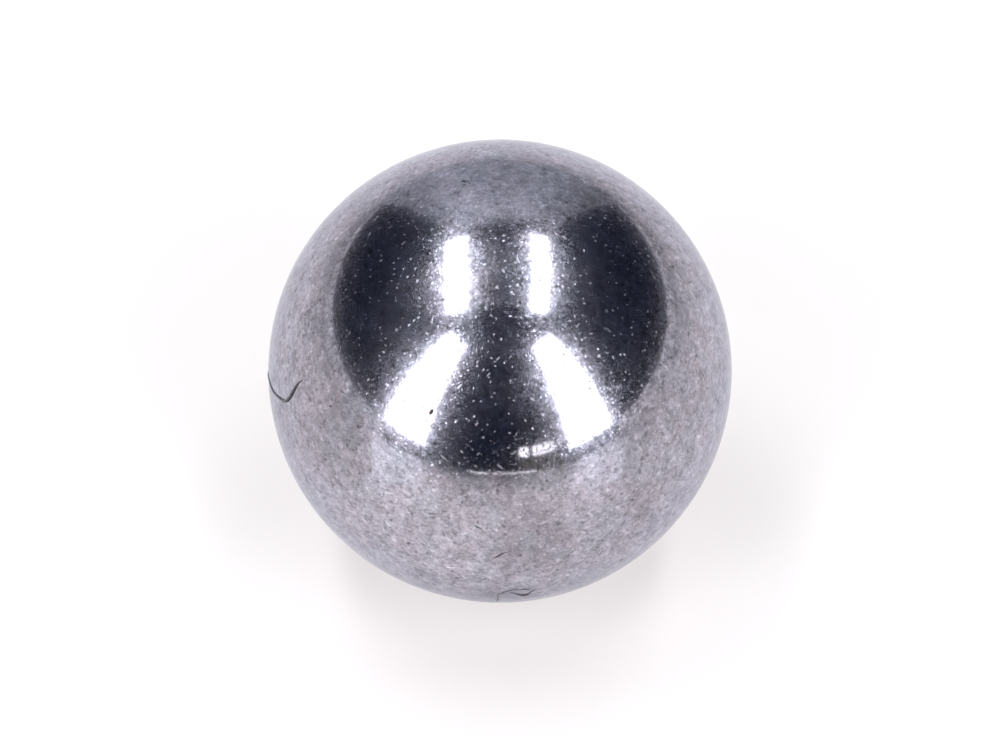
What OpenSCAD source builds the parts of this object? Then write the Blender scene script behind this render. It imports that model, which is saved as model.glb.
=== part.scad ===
// Steel ball: a hardened steel sphere, ground and lapped in one solid piece.
// Millimetres, +Z up. The origin is the ball's centre.

/* [Ball] */
// Diameter of the ball over its lapped surface
ball_diameter = 6; // [1:0.5:25]

/* [Hidden] */

ball_radius = ball_diameter / 2;

// Facets round the ball, for the preview only: the solid itself is a true sphere
$fn = 144;

// The whole ball. It has no bore, flat or seam, so it seats and rolls on any part of its surface.
module ball() {
    color("silver")
        sphere(r = ball_radius);
}

ball();
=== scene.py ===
"""The looks of a small steel ball: its lapped surface, its lint and dirt, and the studio it lies in."""

import math

import bpy
import numpy as np
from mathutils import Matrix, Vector


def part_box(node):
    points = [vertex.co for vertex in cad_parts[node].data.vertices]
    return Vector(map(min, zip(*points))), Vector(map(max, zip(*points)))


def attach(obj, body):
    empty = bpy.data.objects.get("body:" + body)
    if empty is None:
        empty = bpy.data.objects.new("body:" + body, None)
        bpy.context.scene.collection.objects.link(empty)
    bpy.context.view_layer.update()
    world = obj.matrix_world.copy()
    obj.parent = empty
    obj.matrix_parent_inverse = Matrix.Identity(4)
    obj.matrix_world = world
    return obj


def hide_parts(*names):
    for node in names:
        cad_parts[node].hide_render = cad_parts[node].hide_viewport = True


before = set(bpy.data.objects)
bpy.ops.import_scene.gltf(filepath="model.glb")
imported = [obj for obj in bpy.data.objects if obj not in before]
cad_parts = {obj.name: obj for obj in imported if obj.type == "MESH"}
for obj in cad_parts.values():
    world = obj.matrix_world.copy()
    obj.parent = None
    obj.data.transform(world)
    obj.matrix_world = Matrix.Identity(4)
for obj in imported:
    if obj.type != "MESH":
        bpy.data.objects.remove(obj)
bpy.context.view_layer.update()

MICRON = 1e-6

# The ball: its centre is the frame's origin
ball_low, ball_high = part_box("ball")
RADIUS = (ball_high.z - ball_low.z) / 2
FLOOR_Z = ball_low.z
SIDE_DIVISIONS = 128  # quads along each side of the cube that the sphere is rounded from
UV_GAP = 0.008  # the margin round each side of that cube in the UV map, as a share of the side

# Camera, in degrees and metres. Azimuth 0 is the front, which is -Y, and grows towards +X
CAMERA_AZIMUTH = 0.0
CAMERA_ELEVATION = 52.0
CAMERA_DISTANCE = 0.2
LENS_MM = 556.0
SENSOR_MM = 36.0
AIM_BELOW_CENTRE = 0.0173 * RADIUS  # the ball sits a little above the middle of the picture

# Steel: colours, roughness and the sizes of its texture in metres
STEEL_WARM = (0.414, 0.384, 0.432)
STEEL_COOL = (0.398, 0.387, 0.437)
STEEL_EDGE_TINT = (0.82, 0.84, 0.90)
TINT_SIZE = 420 * MICRON
TINT_EDGES = (0.38, 0.62)  # the values of its noise between which one colour turns into the other
GRAIN_SIZE = 200 * MICRON
GRAIN_OCTAVES = 4.0
GRAIN_CONTRAST = 2.3
STROKE_PITCH = 72 * MICRON
STROKE_SIZES = (0.20, 0.42)  # shares of the pitch
STROKE_AXES = ((0.2, 0.9, 0.4), (0.9, -0.3, 0.35), (-0.5, 0.35, 0.8), (0.45, 0.6, -0.65))
STROKE_STRETCH = 3.2
STROKE_FULL_HEIGHT = 0.6  # where a stroke has its full shade, between 0 at its rim and 1 in its middle
STROKE_CONTRAST = 0.34
SCRATCH_SIZE = 130 * MICRON
SCRATCH_WIDTH = 0.015  # as a share of the noise's range
SCRATCH_CURL = 1.5
SCRATCH_SHADE = 0.78
FLECK_PITCH = 125 * MICRON
FLECK_SHARE = 0.4
FLECK_SIZES = (0.07, 0.17)  # shares of the pitch
FLECK_FULL_HEIGHT = 0.6
FLECK_SHADE = 0.6
SPOT_CORE = 0.3  # how far a stain, a patch of painted shade or painted reflection, or a haze spot keeps its full strength, as a share of its reach
# Broad stains, partly real tarnish and partly painted light. Darker patches paint the floor's shadow
# mirrored near the bottom and tone down the floor's mirrored sheen below the softboxes, and paler ones
# paint a reflection of that sheen. Each is the azimuth and elevation of its centre on the ball, its reach
# as a share of the radius, and its shade, which is above 1 where the steel is paler there.
STAINS_AND_PAINTED_LIGHT = (
    (-50.0, 16.0, 0.34, 0.84), (7.5, 3.0, 0.27, 0.76), (32.0, 8.0, 0.36, 0.85), (61.0, 20.0, 0.24, 0.86),
    (-18.5, 22.0, 0.17, 1.28), (150.0, 20.0, 0.4, 0.86), (-120.0, -15.0, 0.45, 0.88),
    (-38.0, 17.0, 0.24, 0.95), (-25.5, 21.5, 0.14, 0.79), (33.0, 24.0, 0.15, 0.82),
    (-70.0, 6.0, 0.25, 0.9), (-71.0, 21.0, 0.14, 0.9), (0.0, -27.0, 0.25, 0.78), (4.0, 24.0, 0.1, 0.86),
    (37.0, 4.0, 0.14, 0.89), (50.0, 9.0, 0.14, 0.88), (63.0, 32.0, 0.13, 1.15), (-6.0, 15.0, 0.1, 0.9),
    (9.0, 15.0, 0.1, 0.9), (58.0, 27.0, 0.1, 1.1), (26.0, 22.5, 0.1, 0.92), (100.0, -40.0, 0.35, 0.85),
    (-150.0, 40.0, 0.25, 1.1),
)
SMOOTH_ROUGHNESS = 0.072
HAZE_ROUGHNESS = 0.245
HAZE_SIZE = 1.2 * MICRON  # so fine that its sharp and dull places blend into a bloom
HAZE_EDGES = (0.457, 0.517)  # the values of its noise between which the steel turns from sharp to dull
HAZE_PATCH_SIZE = 80 * MICRON
HAZE_PATCH_CONTRAST = 0.15
# Places with less haze, or more where the last number is below 0. Each is the azimuth and elevation of its
# centre on the ball, its reach as a share of the radius, and its strength.
HAZE_SPOTS = (
    (1.0, 30.0, 0.27, 0.12), (-6.0, 47.0, 0.2, 0.03), (12.0, 47.0, 0.14, -0.05), (1.0, 64.0, 0.13, 0.06),
    (7.0, 80.0, 0.12, -0.05), (-56.0, 57.0, 0.22, -0.06), (-50.0, 65.0, 0.16, -0.05),
    (-41.0, 49.0, 0.17, -0.06), (45.0, 65.0, 0.2, -0.04), (45.0, 35.0, 0.12, 0.06),
    (-1.0, 53.0, 0.1, 0.04), (34.0, 54.0, 0.1, -0.05),
)
DOT_PITCH = 92 * MICRON
DOT_SIZES = (0.11, 0.24)  # shares of the pitch
DOT_FULL_HEIGHT = 0.5
DOT_ROUGHNESS = (0.18, 0.38)
DOT_DEPTH = 1.8 * MICRON
DIMPLE_PITCH = 56 * MICRON
DIMPLE_SIZES = (0.18, 0.38)
DIMPLE_FULL_HEIGHT = 0.3
DIMPLE_ROUGHNESS = 0.22
DIMPLE_DEPTH = 0.5 * MICRON
PIT_WARP_SIZE = 26 * MICRON
PIT_WARP = 34 * MICRON  # how far the dots and dimples are pulled out of round, over the noise's whole range
NICK_PITCH = 95 * MICRON
NICK_SHARE = 0.35
NICK_SIZES = (0.08, 0.18)
NICK_AXES = ((0.70, 0.55, 0.46), (-0.75, 0.45, 0.48))
NICK_STRETCH = 4.0
NICK_FULL_HEIGHT = 0.5
NICK_ROUGHNESS = 0.34
NICK_DEPTH = 0.6 * MICRON
PEEL_SIZE = 160 * MICRON
PEEL_HEIGHT = 0.2 * MICRON

# Lint: how thick each fibre is, where along it it is thickest, and its route over the ball as azimuths and
# elevations
FIBRES = {
    "hook": (38 * MICRON, 0.78, ((-93, -3), (-88, 1), (-84, 3.5), (-79, 6), (-74.5, 9), (-70.5, 12),
                                 (-69, 15), (-68.5, 18), (-68, 21), (-67, 23.5))),
    "hem": (20 * MICRON, 0.2, ((-1, -31), (-0.5, -26), (-0.5, -22), (1, -20), (3, -18.5), (5, -18))),
    "loop": (22 * MICRON, 0.5, ((2.5, -20), (4.5, -22), (6, -23.5), (7.5, -23), (8.2, -21), (9.5, -19.5))),
    "arch": (14 * MICRON, 0.5, ((4.5, -19), (6, -18.4), (8.2, -19.4))),
    "streak": (20 * MICRON, 0.5, ((-2, -1.2), (-0.8, -0.8), (0.3, 0.4), (1.9, 1.2))),
    "crumb": (18 * MICRON, 0.4, ((-6.5, 10.5), (-5.4, 9.8), (-4.2, 9.2))),
    "hair": (11 * MICRON, 0.5, ((-37, 29.5), (-34, 29), (-32, 27.2), (-30, 27), (-28, 26))),
    "tail": (16 * MICRON, 0.6, ((141, 18), (147, 22), (155, 23), (162, 20), (166, 14), (165, 8))),
    "wisp": (13 * MICRON, 0.3, ((112, -22), (117, -16), (124, -13), (132, -14))),
}
FIBRE_SIDES = 10
FIBRE_STEP = 0.5  # degrees between its rings
FIBRE_FLATNESS = 0.62
FIBRE_SINK = 0.5 * MICRON
FIBRE_THIN = 0.5  # how thick it is away from its thickest place, as a share
FIBRE_SWELL = 0.22  # how far its thickest place reaches, as a share of its length
FIBRE_TIP = 0.15  # how far each tip tapers, as a share of its length
FIBRE_END = 0.15  # how thick its blunt ends are, as a share
CHIP_DIVISIONS = 5
CHIP_BUMPS = 0.3
CHIP_WIDTH = 0.55  # shares of the length
CHIP_HEIGHT = 0.3

# Dirt: the azimuth and elevation of each chip, how long it is, and how far its length is turned from level
CHIPS = ((-22.2, 39.3, 85 * MICRON, 80), (-53.6, 26.0, 44 * MICRON, 30), (-12.0, -9.0, 34 * MICRON, 10),
         (74.0, 33.0, 30 * MICRON, 60), (150.0, 20.0, 46 * MICRON, 20), (-140.0, 12.0, 38 * MICRON, 70))

LINT_DARK = (0.045, 0.040, 0.050)
LINT_PALE = (0.12, 0.11, 0.12)
LINT_PATCH_SIZE = 90 * MICRON
LINT_PATCH_EDGES = (0.45, 0.7)
LINT_FUZZ_SIZE = 9 * MICRON
LINT_FUZZ_HEIGHT = 3 * MICRON
DIRT_DARK = (0.020, 0.016, 0.018)
DIRT_RED = (0.085, 0.035, 0.028)
DIRT_PATCH_SIZE = 30 * MICRON
DIRT_PATCH_EDGES = (0.35, 0.65)

# Studio: distances in metres, angles in degrees, and radiances where 1 is white
FLOOR_REACH = 0.9
ROOM_REACH = 0.8
FLOOR_COLOUR = (0.53, 0.50, 0.48)
FLOOR_GLOW = (0.47, 0.45, 0.445)
FLOOR_IOR = 1.2
FLOOR_ROUGHNESS = 0.22
SOFTBOX_RADIANCE = 6.6
STRIP_RADIANCE = 9.9
LAMP_COLOUR = (0.96, 1.0, 1.08)
SOFTBOX_DISTANCE = 0.35
SOFTBOX_BORDER = 0.006  # how wide the fading edge is
SOFTBOX_BOTTOM_SPANS = ((-58.8, -34.6), (31.8, 55.8))
SOFTBOX_TOP_SPANS = ((-58.2, -34.2), (31.4, 56.8))
SOFTBOX_ELEVATIONS = ((6.0, 61.5), (5.6, 60.9))
STRIP_HEIGHT = 0.36
STRIP_BORDER = 0.004
STRIP_SIDES = ((-0.486, -0.266), (0.252, 0.424))  # of the left and the right one, as shares of the height
STRIP_ENDS = ((-0.132, 0.7), (-0.142, 0.732))  # towards the back, in the same shares
WING_SIDES = (-0.27, -0.05)  # a dim light beside the left strip, in the same shares
WING_ENDS = (-0.12, 0.5)
WING_RADIANCE = 1.05
BACKDROP_DISTANCE = 0.45
BACKDROP_HALF_WIDTH = 29.5
BACKDROP_TOPS = (47.0, 51.0)  # at its two ends, on the right and on the left
BACKDROP_TINT = (0.95, 1.0, 1.12)
# Its glow, which paints light and shade on grey paper: its grey at shares of its height, and its brightness
# across its width, from the right end to the left one
BACKDROP_TONES = ((0.0, 0.42), (0.3, 0.5), (0.6, 0.64), (0.8, 0.76), (0.9, 0.5), (1.0, 0.08))
BACKDROP_SHADES = (0.64, 0.6, 0.78, 1.0, 1.08, 1.04, 0.98, 1.1, 1.38, 1.38, 1.1, 0.96, 0.92)
BOARD_DISTANCE = 0.4
BOARD_ENDS = (-0.25, 0.75)
BOARD_HEIGHTS = ((0.048, 0.012), (0.046, 0.017))  # over the ball's centre, of the left and the right one
BOARD_COLOUR = (0.96, 0.96, 1.0)
BOARD_RADIANCE = 0.95
PANE_DISTANCE = 0.5
PANE_SPANS = ((8.9, 13.3), (15.3, 25.6))
PANE_ELEVATIONS = (8.0, 13.0)
PANE_RADIANCE = 3.4
SILL_SPAN = (8.5, 30.0)
SILL_ELEVATIONS = (-0.3, 6.6)
SILL_COLOUR = (0.09, 0.085, 0.075)
EDGE_SPAN = (-14.0, 16.0)
EDGE_ELEVATIONS = (-0.3, 0.3)
EDGE_RADIANCE = 3.3
WHITE = (1.0, 1.0, 1.0)
ROOM_RADIANCE = (0.010, 0.016, 0.036)
ROOM_COLUMNS = 48


def toward(azimuth, elevation):
    """The unit vector from the ball's centre at that azimuth and elevation in degrees."""
    a, e = math.radians(azimuth), math.radians(elevation)
    return Vector((math.sin(a) * math.cos(e), -math.cos(a) * math.cos(e), math.sin(e)))


# ---------------------------------------------------------------- node and mesh helpers


def add_node(tree, kind, inputs=None, **properties):
    """A new node with its properties set and each input given, by name or number, set or linked."""
    node = tree.nodes.new(kind)
    for name, value in properties.items():
        setattr(node, name, value)
    for name, value in (inputs or {}).items():
        if isinstance(value, bpy.types.NodeSocket):
            tree.links.new(value, node.inputs[name])
        else:
            node.inputs[name].default_value = value
    return node


def calc(tree, operation, first, second=0.0, third=0.0, clamp=False):
    """The result of one Math node."""
    inputs = {0: first, 1: second, 2: third}
    return add_node(tree, "ShaderNodeMath", inputs, operation=operation, use_clamp=clamp).outputs[0]


def remap(tree, value, low, high, to_low=0.0, to_high=1.0):
    """value moved smoothly from the range low..high to the range to_low..to_high, and held inside it."""
    inputs = {0: value, 1: low, 2: high, 3: to_low, 4: to_high}
    node = add_node(tree, "ShaderNodeMapRange", inputs, interpolation_type="SMOOTHSTEP")
    return node.outputs[0]


def blend_colours(tree, share, first, second, how="MIX"):
    """Two colours blended by a Mix node."""
    node = add_node(tree, "ShaderNodeMix", data_type="RGBA", blend_type=how)
    for socket, value in zip((node.inputs[0], node.inputs[6], node.inputs[7]), (share, first, second)):
        if isinstance(value, bpy.types.NodeSocket):
            tree.links.new(value, socket)
        else:
            socket.default_value = value if isinstance(value, float) else (*value, 1.0)
    return node.outputs[2]


def noise(tree, place, size, detail=2.0, rough=0.5, curl=0.0, shift=0.0):
    """A noise pattern from 0 to 1 whose features are about size metres across. A shift sets it apart."""
    moved = add_node(tree, "ShaderNodeVectorMath", {0: place, 1: (shift,) * 3}, operation="ADD")
    inputs = {"Vector": moved.outputs[0], "Scale": 1 / size, "Detail": detail, "Roughness": rough,
              "Distortion": curl}
    return add_node(tree, "ShaderNodeTexNoise", inputs).outputs["Fac"]


def new_material(name, **values):
    """A material of one Principled shader with those sockets set. Returns it, its tree and the shader."""
    material = bpy.data.materials.new(name)
    material.use_nodes = True
    tree = material.node_tree
    shader = tree.nodes["Principled BSDF"]
    for socket, value in values.items():
        shader.inputs[socket.replace("_", " ")].default_value = value
    return material, tree, shader


def mesh_object(name, vertices, faces, material, smooth=True):
    """A new object with that mesh and material, in the scene."""
    mesh = bpy.data.meshes.new(name)
    mesh.from_pydata([tuple(v) for v in vertices], [], faces)
    mesh.polygons.foreach_set("use_smooth", [smooth] * len(mesh.polygons))
    mesh.materials.append(material)
    mesh.update()
    made = bpy.data.objects.new(name, mesh)
    bpy.context.scene.collection.objects.link(made)
    return made


# ---------------------------------------------------------------- materials of the object


def stretched(tree, place, axis, times):
    """The place squeezed along an axis, so that a pattern made in it is that many times as long there."""
    along = Vector(axis).normalized()
    dot = add_node(tree, "ShaderNodeVectorMath", {0: place, 1: along}, operation="DOT_PRODUCT")
    inputs = {0: along, "Scale": dot.outputs["Value"]}
    shift = add_node(tree, "ShaderNodeVectorMath", inputs, operation="SCALE")
    inputs = {0: shift.outputs[0], 1: (1 / times - 1,) * 3, 2: place}
    return add_node(tree, "ShaderNodeVectorMath", inputs, operation="MULTIPLY_ADD").outputs[0]


def warped(tree, place, size, reach):
    """The place moved about by a noise, so that a pattern made in it is bent out of shape."""
    drift = add_node(tree, "ShaderNodeTexNoise", {"Vector": place, "Scale": 1 / size, "Detail": 0.0})
    inputs = {0: drift.outputs["Color"], 1: (reach,) * 3, 2: place}
    return add_node(tree, "ShaderNodeVectorMath", inputs, operation="MULTIPLY_ADD").outputs[0]


def scattered_spots(tree, place, pitch, share, sizes):
    """Round spots about pitch metres apart, in a share of the cells. Returns each point's height in its
    spot, from 0 at the rim to 1 in the middle, and the spot's own random number."""
    cells = add_node(tree, "ShaderNodeTexVoronoi", {"Vector": place, "Scale": 1 / pitch})
    random_parts = add_node(tree, "ShaderNodeSeparateColor", {0: cells.outputs["Color"]})
    size = remap(tree, random_parts.outputs[0], 1 - share, 1.0, *sizes)
    exists = calc(tree, "GREATER_THAN", random_parts.outputs[0], 1 - share)
    across = calc(tree, "DIVIDE", cells.outputs["Distance"], size)
    bowl = calc(tree, "SUBTRACT", 1.0, calc(tree, "MULTIPLY", across, across), clamp=True)
    return calc(tree, "MULTIPLY", bowl, exists), random_parts.outputs[1]


def broad_spot(tree, place, azimuth, elevation, reach, inside, outside):
    """The value inside, near that place on the ball, which turns smoothly into outside at the reach."""
    centre = toward(azimuth, elevation) * RADIUS
    away = add_node(tree, "ShaderNodeVectorMath", {0: place, 1: centre}, operation="DISTANCE")
    return remap(tree, away.outputs["Value"], SPOT_CORE * reach * RADIUS, reach * RADIUS, inside, outside)


def steel_colour(tree, place):
    """Pinkish and bluish grey in soft patches, under a grain, strokes, scratches, flecks, and stains that
    are partly painted shade and painted reflection.
    """
    patches = remap(tree, noise(tree, place, TINT_SIZE, detail=3.0), *TINT_EDGES)
    colour = blend_colours(tree, patches, STEEL_WARM, STEEL_COOL)
    grain = noise(tree, place, GRAIN_SIZE, detail=GRAIN_OCTAVES, rough=1.0, shift=RADIUS)
    shade = calc(tree, "MULTIPLY_ADD", grain, GRAIN_CONTRAST, 1 - GRAIN_CONTRAST / 2)
    for axis in STROKE_AXES:
        drawn = stretched(tree, place, axis, STROKE_STRETCH)
        strokes, kind = scattered_spots(tree, drawn, STROKE_PITCH, 1.0, STROKE_SIZES)
        light = calc(tree, "MULTIPLY_ADD", kind, 2 * STROKE_CONTRAST, -STROKE_CONTRAST)
        shade = calc(tree, "MULTIPLY_ADD", remap(tree, strokes, 0.0, STROKE_FULL_HEIGHT), light, shade)
    lines = noise(tree, place, SCRATCH_SIZE, detail=0.0, curl=SCRATCH_CURL, shift=5 * RADIUS)
    off_line = calc(tree, "ABSOLUTE", calc(tree, "SUBTRACT", lines, 0.5))
    shade = calc(tree, "MULTIPLY", shade, remap(tree, off_line, 0.0, SCRATCH_WIDTH, SCRATCH_SHADE, 1.0))
    flecks, _ = scattered_spots(tree, place, FLECK_PITCH, FLECK_SHARE, FLECK_SIZES)
    shade = calc(tree, "MULTIPLY", shade, remap(tree, flecks, 0.0, FLECK_FULL_HEIGHT, 1.0, FLECK_SHADE))
    # Stains, some of them painted shade and painted reflections
    for azimuth, elevation, reach, stain_or_light in STAINS_AND_PAINTED_LIGHT:
        stained_or_lit = broad_spot(tree, place, azimuth, elevation, reach, stain_or_light, 1.0)
        shade = calc(tree, "MULTIPLY", shade, stained_or_lit)
    shades = add_node(tree, "ShaderNodeCombineColor", {0: shade, 1: shade, 2: shade}).outputs[0]
    return blend_colours(tree, 1.0, colour, shades, how="MULTIPLY")


def steel_material():
    """Lapped hardened steel: a sharp mirror under a patchy haze, with rough dots, dimples and nicks."""
    edge_tint = (*STEEL_EDGE_TINT, 1.0)
    material, tree, shader = new_material("lapped_steel", Metallic=1.0, Specular_Tint=edge_tint)
    place = add_node(tree, "ShaderNodeTexCoord").outputs["Object"]

    patches = noise(tree, place, HAZE_PATCH_SIZE, detail=2.0, curl=1.0, shift=6 * RADIUS)
    mist = noise(tree, place, HAZE_SIZE, detail=1.0, shift=2 * RADIUS)
    mist = calc(tree, "MULTIPLY_ADD", patches, HAZE_PATCH_CONTRAST,
                calc(tree, "SUBTRACT", mist, HAZE_PATCH_CONTRAST / 2))
    for azimuth, elevation, reach, strength in HAZE_SPOTS:
        wiped = broad_spot(tree, place, azimuth, elevation, reach, strength, 0.0)
        mist = calc(tree, "SUBTRACT", mist, wiped)
    haze = remap(tree, mist, *HAZE_EDGES)
    roughness = remap(tree, haze, 0.0, 1.0, SMOOTH_ROUGHNESS, HAZE_ROUGHNESS)

    peel = noise(tree, place, PEEL_SIZE, detail=1.0, shift=3 * RADIUS)
    bent = warped(tree, place, PIT_WARP_SIZE, PIT_WARP)
    dots, kind = scattered_spots(tree, bent, DOT_PITCH, 1.0, DOT_SIZES)
    dot_roughness = remap(tree, kind, 0.0, 1.0, *DOT_ROUGHNESS)
    dot_roughness = calc(tree, "MULTIPLY", remap(tree, dots, 0.0, DOT_FULL_HEIGHT), dot_roughness)
    roughness = calc(tree, "MAXIMUM", roughness, dot_roughness)
    height = calc(tree, "MULTIPLY_ADD", dots, -DOT_DEPTH, calc(tree, "MULTIPLY", peel, PEEL_HEIGHT))
    dimples, _ = scattered_spots(tree, bent, DIMPLE_PITCH, 1.0, DIMPLE_SIZES)
    dimple_roughness = remap(tree, dimples, 0.0, DIMPLE_FULL_HEIGHT, 0.0, DIMPLE_ROUGHNESS)
    roughness = calc(tree, "MAXIMUM", roughness, dimple_roughness)
    height = calc(tree, "MULTIPLY_ADD", dimples, -DIMPLE_DEPTH, height)
    for axis in NICK_AXES:
        drawn = stretched(tree, place, axis, NICK_STRETCH)
        nicks, _ = scattered_spots(tree, drawn, NICK_PITCH, NICK_SHARE, NICK_SIZES)
        nick_roughness = remap(tree, nicks, 0.0, NICK_FULL_HEIGHT, 0.0, NICK_ROUGHNESS)
        roughness = calc(tree, "MAXIMUM", roughness, nick_roughness)
        height = calc(tree, "MULTIPLY_ADD", nicks, -NICK_DEPTH, height)
    relief = add_node(tree, "ShaderNodeBump", {"Height": height, "Distance": 1.0})

    tree.links.new(steel_colour(tree, place), shader.inputs["Base Color"])
    tree.links.new(roughness, shader.inputs["Roughness"])
    tree.links.new(relief.outputs[0], shader.inputs["Normal"])
    return material


def lint_material():
    """Dark grey fibre, paler in places."""
    material, tree, shader = new_material("lint", Roughness=0.6, Sheen_Weight=0.3)
    place = add_node(tree, "ShaderNodeTexCoord").outputs["Object"]
    worn = remap(tree, noise(tree, place, LINT_PATCH_SIZE, detail=2.0), *LINT_PATCH_EDGES)
    tree.links.new(blend_colours(tree, worn, LINT_DARK, LINT_PALE), shader.inputs["Base Color"])
    fuzz = noise(tree, place, LINT_FUZZ_SIZE, detail=1.0)
    relief = add_node(tree, "ShaderNodeBump", {"Height": fuzz, "Distance": LINT_FUZZ_HEIGHT})
    tree.links.new(relief.outputs[0], shader.inputs["Normal"])
    return material


def dirt_material():
    """Dry brown dirt."""
    material, tree, shader = new_material("dirt", Roughness=0.8)
    place = add_node(tree, "ShaderNodeTexCoord").outputs["Object"]
    patches = remap(tree, noise(tree, place, DIRT_PATCH_SIZE, detail=2.0), *DIRT_PATCH_EDGES)
    tree.links.new(blend_colours(tree, patches, DIRT_DARK, DIRT_RED), shader.inputs["Base Color"])
    return material


# ---------------------------------------------------------------- pieces of the object


def rounded_cube(divisions):
    """The vertices and quads of a unit sphere made from a cube, with its squares nearly even, and the cube
    face and the place on that face of each quad's corners."""
    numbers, corners, quads, places = {}, [], [], []
    for axis in range(3):
        for side in (-1, 1):
            for i in range(divisions):
                for j in range(divisions):
                    steps = [(i, j), (i + 1, j), (i + 1, j + 1), (i, j + 1)]
                    steps = steps if side > 0 else steps[::-1]
                    quad = []
                    for p, q in steps:
                        spot = [0, 0, 0]
                        spot[axis] = side * divisions
                        spot[(axis + 1) % 3] = 2 * p - divisions
                        spot[(axis + 2) % 3] = 2 * q - divisions
                        key = tuple(spot)
                        if key not in numbers:
                            numbers[key] = len(corners)
                            corners.append(key)
                        quad.append(numbers[key])
                        places.append((axis, side, p / divisions, q / divisions))
                    quads.append(quad)
    points = np.tan(np.array(corners) / divisions * math.pi / 4)
    points /= np.linalg.norm(points, axis=1)[:, None]
    return points, quads, places


def make_ball():
    """The lapped ball. Its true round surface stands for the coarse CAD mesh."""
    points, quads, places = rounded_cube(SIDE_DIVISIONS)
    ball = mesh_object("steel_ball", points * RADIUS, quads, steel_material())
    lay_out(ball.data, places)
    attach(ball, "root")
    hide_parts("ball")


def lay_out(mesh, places):
    """Gives the mesh a UV map with the cube's six faces side by side, three across and two up."""
    width = 1 - 2 * UV_GAP
    spots = np.array([(axis + UV_GAP + u * width, (side > 0) + UV_GAP + v * width)
                      for axis, side, u, v in places])
    layer = mesh.uv_layers.new(name="OFBake")
    layer.data.foreach_set("uv", (spots / (3, 2)).ravel())


def smooth_route(points, step):
    """Unit vectors about step degrees apart, along a Catmull-Rom curve over the ball through points of
    azimuth and elevation."""
    knots = [toward(*point) for point in points]
    knots = [2 * knots[0] - knots[1], *knots, 2 * knots[-1] - knots[-2]]
    route = []
    for before, start, end, after in zip(knots, knots[1:], knots[2:], knots[3:]):
        count = max(2, round(math.degrees(start.angle(end)) / step))
        for i in range(count):
            t = i / count
            spot = (2 * start + (end - before) * t + (2 * before - 5 * start + 4 * end - after) * t ** 2
                    + (3 * start - before - 3 * end + after) * t ** 3)
            route.append(spot.normalized())
    route.append(knots[-2].normalized())
    return route


def fibre_mesh(route, thickness, thickest):
    """The vertices and faces of a flattened fibre that lies on the ball along a route of unit vectors, and
    tapers to its two tips."""
    vertices, faces = [], []
    last = len(route) - 1
    for i, up in enumerate(route):
        along = (route[min(i + 1, last)] - route[max(i - 1, 0)]).normalized()
        across = up.cross(along).normalized()
        t = i / last
        swell = math.exp(-((t - thickest) / FIBRE_SWELL) ** 2)
        tip = min(1.0, min(t, 1 - t) / FIBRE_TIP)
        body = FIBRE_THIN + (1 - FIBRE_THIN) * swell
        taper = FIBRE_END + (1 - FIBRE_END) * math.sqrt(tip)
        half = thickness / 2 * body * taper
        middle = up * (RADIUS + half * FIBRE_FLATNESS - FIBRE_SINK)
        for k in range(FIBRE_SIDES):
            turn = 2 * math.pi * k / FIBRE_SIDES
            aside = across * half * math.cos(turn)
            vertices.append(middle + aside + up * half * FIBRE_FLATNESS * math.sin(turn))
    for i in range(last):
        for k in range(FIBRE_SIDES):
            a, b = i * FIBRE_SIDES + k, i * FIBRE_SIDES + (k + 1) % FIBRE_SIDES
            faces.append((a, a + FIBRE_SIDES, b + FIBRE_SIDES, b))
    faces.append(tuple(range(FIBRE_SIDES)))
    faces.append(tuple(last * FIBRE_SIDES + k for k in reversed(range(FIBRE_SIDES))))
    return vertices, faces


def make_lint():
    """The fibres that cling to the ball."""
    material = lint_material()
    for name, (thickness, thickest, points) in FIBRES.items():
        vertices, faces = fibre_mesh(smooth_route(points, FIBRE_STEP), thickness, thickest)
        fibre = mesh_object(f"lint_{name}", vertices, faces, material)
        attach(fibre, "root")


def make_dirt():
    """Small chips of dirt stuck to the ball."""
    material = dirt_material()
    points, quads, _ = rounded_cube(CHIP_DIVISIONS)
    for number, (azimuth, elevation, length, angle) in enumerate(CHIPS):
        up = toward(azimuth, elevation)
        east = Vector((0, 0, 1)).cross(up).normalized()
        north = up.cross(east)
        turn = math.radians(angle)
        along = east * math.cos(turn) + north * math.sin(turn)
        across = up.cross(along)
        vertices = []
        for x, y, z in points:
            bump = 1 + (CHIP_BUMPS * math.sin(5 * x + 3 * number) * math.sin(4 * y + number)
                        * math.cos(3 * z))
            vertices.append(up * RADIUS + (along * x + across * y * CHIP_WIDTH + up * z * CHIP_HEIGHT)
                            * bump * length / 2)
        chip = mesh_object(f"dirt_chip_{number + 1}", vertices, quads, material)
        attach(chip, "root")


# ---------------------------------------------------------------- studio


def bare_material(name):
    """A material with no nodes yet. Returns it and its tree."""
    material = bpy.data.materials.new(name)
    material.use_nodes = True
    material.node_tree.nodes.clear()
    return material, material.node_tree


def glow_material(name, colour, strength, fades=False):
    """A plain light of that colour and radiance, which may fade by its mesh's fade attribute."""
    material, tree = bare_material(name)
    if fades:
        fade = add_node(tree, "ShaderNodeAttribute", attribute_name="fade").outputs["Fac"]
        strength = calc(tree, "MULTIPLY", fade, strength)
    glow = add_node(tree, "ShaderNodeEmission", {"Color": (*colour, 1.0), "Strength": strength})
    add_node(tree, "ShaderNodeOutputMaterial", {"Surface": glow.outputs[0]})
    return material


def seen_rays(tree):
    """1 for what is seen by the camera, mirrored or seen through, and 0 for what only lights."""
    path = add_node(tree, "ShaderNodeLightPath")
    seen = calc(tree, "MAXIMUM", path.outputs["Is Camera Ray"], path.outputs["Is Glossy Ray"])
    return calc(tree, "MAXIMUM", seen, path.outputs["Is Transmission Ray"])


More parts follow.
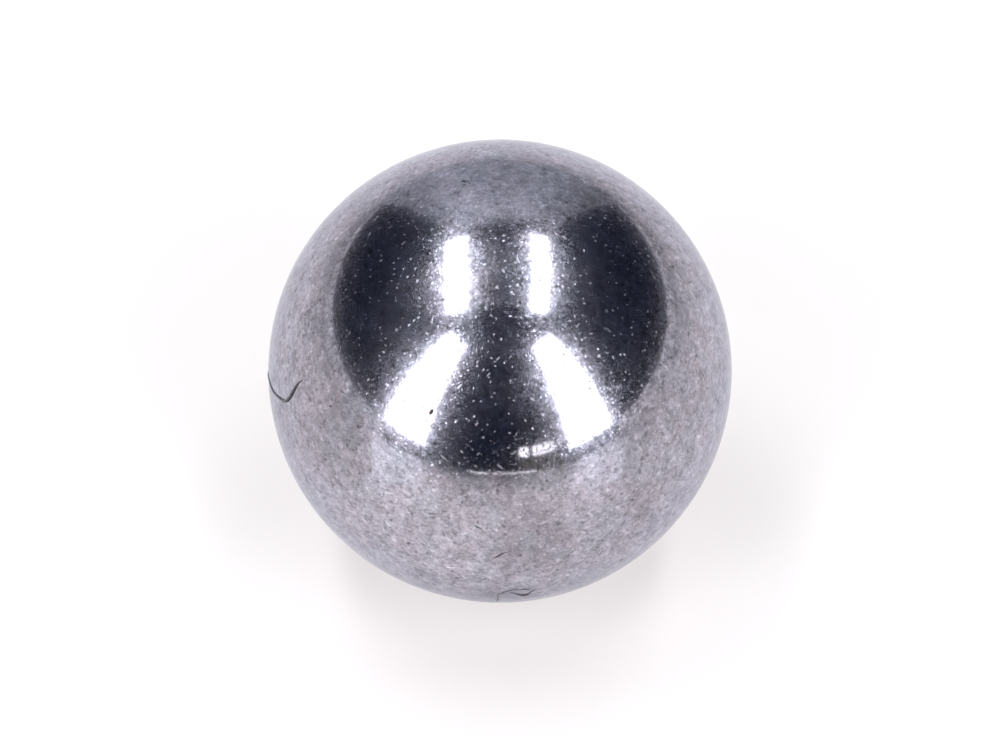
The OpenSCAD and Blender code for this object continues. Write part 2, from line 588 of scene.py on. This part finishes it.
def studio_piece(name, vertices, faces, material, lights=True):
    """A part of the studio that the ball mirrors and the camera doesn't see. It may light the floor too."""
    made = mesh_object(name, vertices, faces, material, smooth=False)
    made.visible_camera = False
    made.visible_diffuse = lights
    made.visible_shadow = False
    return made


def point_values(mesh, name, values):
    """Gives the mesh an attribute with one value for each vertex, which its material reads."""
    mesh.attributes.new(name, "FLOAT", "POINT").data.foreach_set("value", values)


def wing_panel(name, corners, material):
    """A four-cornered light, bright at its first and last corners, that fades out towards the others."""
    made = studio_piece(name, corners, [(0, 1, 2, 3)], material)
    point_values(made.data, "fade", [1.0, 0.0, 0.0, 1.0])


def soft_panel(name, corners, border, material):
    """A four-cornered light that fades out over a border along its edges."""
    first, second, third, fourth = corners
    across, along = border / (second - first).length, border / (fourth - first).length
    inner = []
    for s, t in ((across, along), (1 - across, along), (1 - across, 1 - along), (across, 1 - along)):
        inner.append(first.lerp(second, s).lerp(fourth.lerp(third, s), t))
    faces = [(4, 5, 6, 7)] + [(i, (i + 1) % 4, (i + 1) % 4 + 4, i + 4) for i in range(4)]
    made = studio_piece(name, [*corners, *inner], faces, material)
    point_values(made.data, "fade", [0.0] * 4 + [1.0] * 4)


def standing_corners(span, elevations, distance, top_span=None):
    """The corners of an upright panel that fills the azimuths in span and the elevations given. Its top may
    fill other azimuths."""
    middle = sum(span) / 2
    out = toward(middle, 0)
    across = toward(middle + 90, 0)
    top_span = top_span or span
    corners = []
    low, high = elevations
    for azimuth, elevation in zip((*span, *top_span[::-1]), (low, low, high, high)):
        aside = math.tan(math.radians(azimuth - middle))
        rise = math.tan(math.radians(elevation))
        corners.append((out + across * aside + Vector((0, 0, rise))) * distance)
    return corners


def overhead_corners(sides, ends):
    """The corners of a level panel over the ball, from its sides and ends as shares of its height."""
    low, high = sides
    near, far = ends
    shares = ((low, near), (high, near), (high, far), (low, far))
    return [Vector((x, y, 1)) * STRIP_HEIGHT for x, y in shares]


def make_floor():
    """The pale floor. It is lit as it lies, and glows a little where it is seen, so that it shows white."""
    material, tree = bare_material("pale_floor")
    seen = seen_rays(tree)
    paper = add_node(tree, "ShaderNodeBsdfDiffuse", {"Color": (*FLOOR_COLOUR, 1.0)})
    glow = add_node(tree, "ShaderNodeEmission", {"Color": (*FLOOR_GLOW, 1.0), "Strength": seen})
    both = add_node(tree, "ShaderNodeAddShader", {0: paper.outputs[0], 1: glow.outputs[0]})
    fresnel = add_node(tree, "ShaderNodeFresnel", {"IOR": FLOOR_IOR}).outputs[0]
    sheen = add_node(tree, "ShaderNodeBsdfGlossy", {"Roughness": FLOOR_ROUGHNESS})
    mixed = add_node(tree, "ShaderNodeMixShader", {0: fresnel, 1: both.outputs[0], 2: sheen.outputs[0]})
    add_node(tree, "ShaderNodeOutputMaterial", {"Surface": mixed.outputs[0]})
    sides = ((-1, -1), (1, -1), (1, 1), (-1, 1))
    corners = [(x * FLOOR_REACH, y * FLOOR_REACH, FLOOR_Z) for x, y in sides]
    floor = mesh_object("floor", corners, [(0, 1, 2, 3)], material, smooth=False)


def make_lamps():
    """Two tall softboxes in front of the ball, two strip lights overhead, and a dim light beside one."""
    cloth = glow_material("softbox_cloth", LAMP_COLOUR, SOFTBOX_RADIANCE, fades=True)
    diffuser = glow_material("strip_diffuser", LAMP_COLOUR, STRIP_RADIANCE, fades=True)
    spans = zip(("left", "right"), SOFTBOX_BOTTOM_SPANS, SOFTBOX_TOP_SPANS, SOFTBOX_ELEVATIONS)
    for side, span, top_span, elevations in spans:
        corners = standing_corners(span, elevations, SOFTBOX_DISTANCE, top_span)
        soft_panel(f"softbox_{side}", corners, SOFTBOX_BORDER, cloth)
    for side, sides, ends in zip(("left", "right"), STRIP_SIDES, STRIP_ENDS):
        soft_panel(f"strip_{side}", overhead_corners(sides, ends), STRIP_BORDER, diffuser)
    wing = glow_material("strip_wing", LAMP_COLOUR, WING_RADIANCE, fades=True)
    wing_panel("strip_wing", overhead_corners(WING_SIDES, WING_ENDS), wing)


def make_window():
    """A small far window of two panes, the wall under it, and a glowing strip that paints the highlight
    along the far edge of the table.
    """
    panes = glow_material("window_pane", WHITE, PANE_RADIANCE)
    for number, span in enumerate(PANE_SPANS):
        corners = standing_corners(span, PANE_ELEVATIONS, PANE_DISTANCE)
        studio_piece(f"window_pane_{number + 1}", corners, [(0, 1, 2, 3)], panes, lights=False)
    sill = glow_material("window_sill", SILL_COLOUR, 1.0)
    corners = standing_corners(SILL_SPAN, SILL_ELEVATIONS, PANE_DISTANCE)
    studio_piece("window_sill", corners, [(0, 1, 2, 3)], sill, lights=False)
    # A painted highlight: the table's far edge as a strip that glows brighter than white
    edge = glow_material("table_edge_highlight", WHITE, EDGE_RADIANCE)
    corners = standing_corners(EDGE_SPAN, EDGE_ELEVATIONS, SOFTBOX_DISTANCE)
    studio_piece("table_edge_highlight", corners, [(0, 1, 2, 3)], edge, lights=False)


def make_side_boards():
    """Two low pale boards along the sides of the table."""
    material = glow_material("side_board", BOARD_COLOUR, BOARD_RADIANCE)
    near, far = BOARD_ENDS
    for side, x, heights in zip(("left", "right"), (-BOARD_DISTANCE, BOARD_DISTANCE), BOARD_HEIGHTS):
        corners = [(x, near, FLOOR_Z), (x, far, FLOOR_Z), (x, far, heights[1]), (x, near, heights[0])]
        studio_piece(f"board_{side}", corners, [(0, 1, 2, 3)], material, lights=False)


def make_backdrop():
    """A grey paper backdrop behind the ball that glows with painted light and shade, paler towards its top,
    where it ends in a dark edge.
    """
    material, tree = bare_material("backdrop_painted_light")
    rise = add_node(tree, "ShaderNodeAttribute", attribute_name="rise").outputs["Fac"]
    ramp = add_node(tree, "ShaderNodeValToRGB", {0: rise})
    elements = ramp.color_ramp.elements
    while len(elements) < len(BACKDROP_TONES):
        elements.new(0.5)
    for element, (spot, tone) in zip(elements, BACKDROP_TONES):
        element.position = spot
        element.color = (*(tone * part for part in BACKDROP_TINT), 1.0)
    shade = add_node(tree, "ShaderNodeAttribute", attribute_name="shade").outputs["Fac"]
    glow = add_node(tree, "ShaderNodeEmission", {"Color": ramp.outputs[0], "Strength": shade})
    add_node(tree, "ShaderNodeOutputMaterial", {"Surface": glow.outputs[0]})

    columns = len(BACKDROP_SHADES) - 1
    vertices, faces, shades = [], [], []
    for i, shade in enumerate(BACKDROP_SHADES):
        azimuth = 180 + BACKDROP_HALF_WIDTH * (2 * i / columns - 1)
        foot = toward(azimuth, 0) * BACKDROP_DISTANCE
        top = BACKDROP_TOPS[0] + (BACKDROP_TOPS[1] - BACKDROP_TOPS[0]) * i / columns
        height = BACKDROP_DISTANCE * math.tan(math.radians(top))
        vertices += [foot + Vector((0, 0, FLOOR_Z)), foot + Vector((0, 0, height))]
        shades += [shade, shade]
    for i in range(columns):
        faces.append((2 * i, 2 * i + 2, 2 * i + 3, 2 * i + 1))
    backdrop = studio_piece("backdrop", vertices, faces, material)
    point_values(backdrop.data, "rise", [0.0, 1.0] * (columns + 1))
    point_values(backdrop.data, "shade", shades)


def make_room():
    """The dark room round the studio: a tall drum with a lid, which only shows in the ball."""
    material = glow_material("dark_room", ROOM_RADIANCE, 1.0)
    columns = ROOM_COLUMNS
    ring = [toward(360 * i / columns, 0) * ROOM_REACH for i in range(columns)]
    vertices = [p + Vector((0, 0, FLOOR_Z)) for p in ring]
    vertices += [p + Vector((0, 0, ROOM_REACH)) for p in ring]
    faces = [(i, (i + 1) % columns, (i + 1) % columns + columns, i + columns) for i in range(columns)]
    faces.append(tuple(range(columns, 2 * columns)))
    studio_piece("dark_room", vertices, faces, material, lights=False)


def make_world():
    """White behind everything for what is seen, mirrored or seen through, and no light of its own."""
    world = bpy.data.worlds.new("studio")
    bpy.context.scene.world = world
    world.use_nodes = True
    tree = world.node_tree
    background = tree.nodes["Background"]
    background.inputs["Color"].default_value = (*WHITE, 1.0)
    tree.links.new(seen_rays(tree), background.inputs["Strength"])


def make_camera():
    """A long macro lens that looks down on the ball from the front."""
    data = bpy.data.cameras.new("camera")
    data.lens = LENS_MM
    data.sensor_width = SENSOR_MM
    data.clip_start = CAMERA_DISTANCE / 100
    data.clip_end = CAMERA_DISTANCE * 100
    camera = bpy.data.objects.new("camera", data)
    bpy.context.scene.collection.objects.link(camera)
    back = toward(CAMERA_AZIMUTH, CAMERA_ELEVATION)
    up = toward(CAMERA_AZIMUTH + 180, 90 - CAMERA_ELEVATION)
    camera.location = back * CAMERA_DISTANCE
    aim = up * -AIM_BELOW_CENTRE
    camera.rotation_mode = "QUATERNION"
    camera.rotation_quaternion = (aim - camera.location).to_track_quat("-Z", "Y")
    bpy.context.scene.camera = camera


make_ball()
make_lint()
make_dirt()
make_floor()
make_lamps()
make_window()
make_side_boards()
make_backdrop()
make_room()
make_world()
make_camera()

bpy.context.scene.view_settings.view_transform = "Standard"
